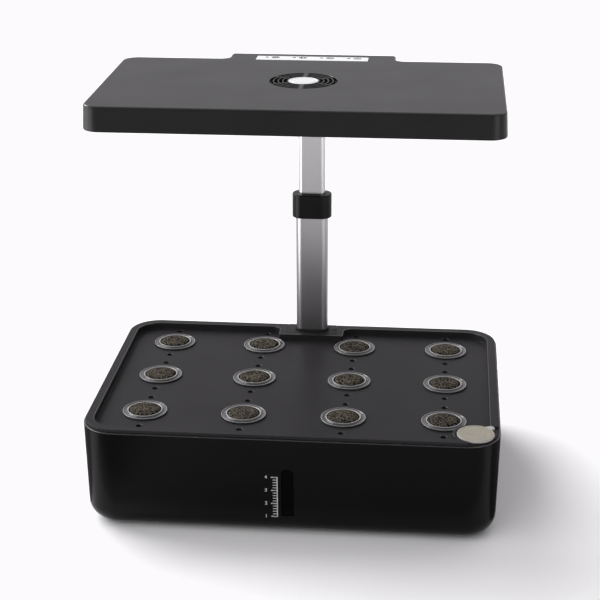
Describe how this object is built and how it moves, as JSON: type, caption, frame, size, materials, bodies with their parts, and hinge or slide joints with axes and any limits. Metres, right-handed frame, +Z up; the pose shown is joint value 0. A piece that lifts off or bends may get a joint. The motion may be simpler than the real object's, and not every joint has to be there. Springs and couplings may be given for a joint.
{
  "type": "countertop hydroponic garden",
  "caption": "Countertop hydroponic garden: a water tank with a lift-off planting deck, plug-in grow baskets, a telescopic mast and a flat lamp hood with a fan grille.",
  "frame": {"origin": "on the table, at the middle of the garden seen from above; the rubber feet stand at z = 0", "axes": "+X to the right seen from the front, +Y from the front with the level window towards the mast, +Z up"},
  "size_m": [0.359, 0.269, 0.3624],
  "materials": {
    "black_shell": "satin black moulded plastic",
    "smoked_window": "clear smoked plastic, polished",
    "foot_rubber": "matt rubber",
    "screw_steel": "zinc plated steel",
    "pump_plastic": "matt black plastic",
    "white_plastic": "white acetal",
    "lead_rubber": "matt black sheath",
    "deck_grey": "satin dark grey plastic",
    "mast_aluminium": "satin anodised, drawn lengthways",
    "cap_silicone": "soft beige silicone",
    "hood_grey": "satin grey plastic, fine texture on the sides",
    "diffuser_plastic": "opal acrylic",
    "board_aluminium": "white solder mask on aluminium",
    "strip_white": "glossy white film",
    "circuit_green": "green circuit board",
    "disc_silver": "silver-white satin disc",
    "basket_smoke": "smoke grey translucent plastic",
    "grow_sponge": "dark brown grow sponge"
  },
  "bodies": {
    "base": {"tank": "black_shell", "level_window": "smoked_window", "foot_front_left": "foot_rubber", "foot_front_right": "foot_rubber", "foot_back_left": "foot_rubber", "foot_back_right": "foot_rubber", "socket_screw_left": "screw_steel", "socket_screw_right": "screw_steel", "mast_socket": "deck_grey", "mast_outer_tube": "mast_aluminium", "mast_collar": "black_shell", "pump_body": "pump_plastic", "pump_cover": "pump_plastic", "pump_nozzle": "pump_plastic", "pump_cable": "lead_rubber"},
    "lamp": {"mast_inner_tube": "mast_aluminium", "mast_bush": "white_plastic", "head_bracket": "black_shell", "hood_top": "hood_grey", "hood_tray": "black_shell", "led_board": "board_aluminium", "led_diffuser": "diffuser_plastic", "fan_frame": "pump_plastic", "grille_cap": "disc_silver", "control_strip": "strip_white", "control_board": "circuit_green", "dc_jack": "pump_plastic", "hood_screw_1": "screw_steel", "hood_screw_2": "screw_steel", "hood_screw_3": "screw_steel", "hood_screw_4": "screw_steel"},
    "fan": {"fan_rotor": "pump_plastic"},
    "impeller": {"pump_impeller": "white_plastic"},
    "deck": {"deck": "deck_grey"},
    "cap": {"fill_cap": "cap_silicone"},
    "pod_1": {"basket_1": "basket_smoke", "sponge_1": "grow_sponge"},
    "pod_2": {"basket_2": "basket_smoke", "sponge_2": "grow_sponge"},
    "pod_3": {"basket_3": "basket_smoke", "sponge_3": "grow_sponge"},
    "pod_4": {"basket_4": "basket_smoke", "sponge_4": "grow_sponge"},
    "pod_5": {"basket_5": "basket_smoke", "sponge_5": "grow_sponge"},
    "pod_6": {"basket_6": "basket_smoke", "sponge_6": "grow_sponge"},
    "pod_7": {"basket_7": "basket_smoke", "sponge_7": "grow_sponge"},
    "pod_8": {"basket_8": "basket_smoke", "sponge_8": "grow_sponge"},
    "pod_9": {"basket_9": "basket_smoke", "sponge_9": "grow_sponge"},
    "pod_10": {"basket_10": "basket_smoke", "sponge_10": "grow_sponge"},
    "pod_11": {"basket_11": "basket_smoke", "sponge_11": "grow_sponge"},
    "pod_12": {"basket_12": "basket_smoke", "sponge_12": "grow_sponge"}
  },
  "joints": [
    {"name": "mast_slide", "type": "slide", "parent": "base", "child": "lamp", "axis": [0, 0, 1], "range_m": [-0.085, 0.035]},
    {"name": "deck_lift", "type": "slide", "parent": "base", "child": "deck", "axis": [0, 0, 1], "range_m": [0, 0.06]},
    {"name": "cap_pull", "type": "slide", "parent": "deck", "child": "cap", "axis": [0, 0, 1], "range_m": [0, 0.025]},
    {"name": "fan_spin", "type": "hinge", "parent": "lamp", "child": "fan", "pos_m": [0, 0.0249, 0.3549], "axis": [0, 0, 1], "continuous": true},
    {"name": "impeller_spin", "type": "hinge", "parent": "base", "child": "impeller", "pos_m": [0, 0.0517, 0.0218], "axis": [0, 1, 0], "continuous": true},
    {"name": "pod_1_lift", "type": "slide", "parent": "deck", "child": "pod_1", "axis": [0, 0, 1], "range_m": [0, 0.06]},
    {"name": "pod_2_lift", "type": "slide", "parent": "deck", "child": "pod_2", "axis": [0, 0, 1], "range_m": [0, 0.06]},
    {"name": "pod_3_lift", "type": "slide", "parent": "deck", "child": "pod_3", "axis": [0, 0, 1], "range_m": [0, 0.06]},
    {"name": "pod_4_lift", "type": "slide", "parent": "deck", "child": "pod_4", "axis": [0, 0, 1], "range_m": [0, 0.06]},
    {"name": "pod_5_lift", "type": "slide", "parent": "deck", "child": "pod_5", "axis": [0, 0, 1], "range_m": [0, 0.06]},
    {"name": "pod_6_lift", "type": "slide", "parent": "deck", "child": "pod_6", "axis": [0, 0, 1], "range_m": [0, 0.06]},
    {"name": "pod_7_lift", "type": "slide", "parent": "deck", "child": "pod_7", "axis": [0, 0, 1], "range_m": [0, 0.06]},
    {"name": "pod_8_lift", "type": "slide", "parent": "deck", "child": "pod_8", "axis": [0, 0, 1], "range_m": [0, 0.06]},
    {"name": "pod_9_lift", "type": "slide", "parent": "deck", "child": "pod_9", "axis": [0, 0, 1], "range_m": [0, 0.06]},
    {"name": "pod_10_lift", "type": "slide", "parent": "deck", "child": "pod_10", "axis": [0, 0, 1], "range_m": [0, 0.06]},
    {"name": "pod_11_lift", "type": "slide", "parent": "deck", "child": "pod_11", "axis": [0, 0, 1], "range_m": [0, 0.06]},
    {"name": "pod_12_lift", "type": "slide", "parent": "deck", "child": "pod_12", "axis": [0, 0, 1], "range_m": [0, 0.06]}
  ]
}
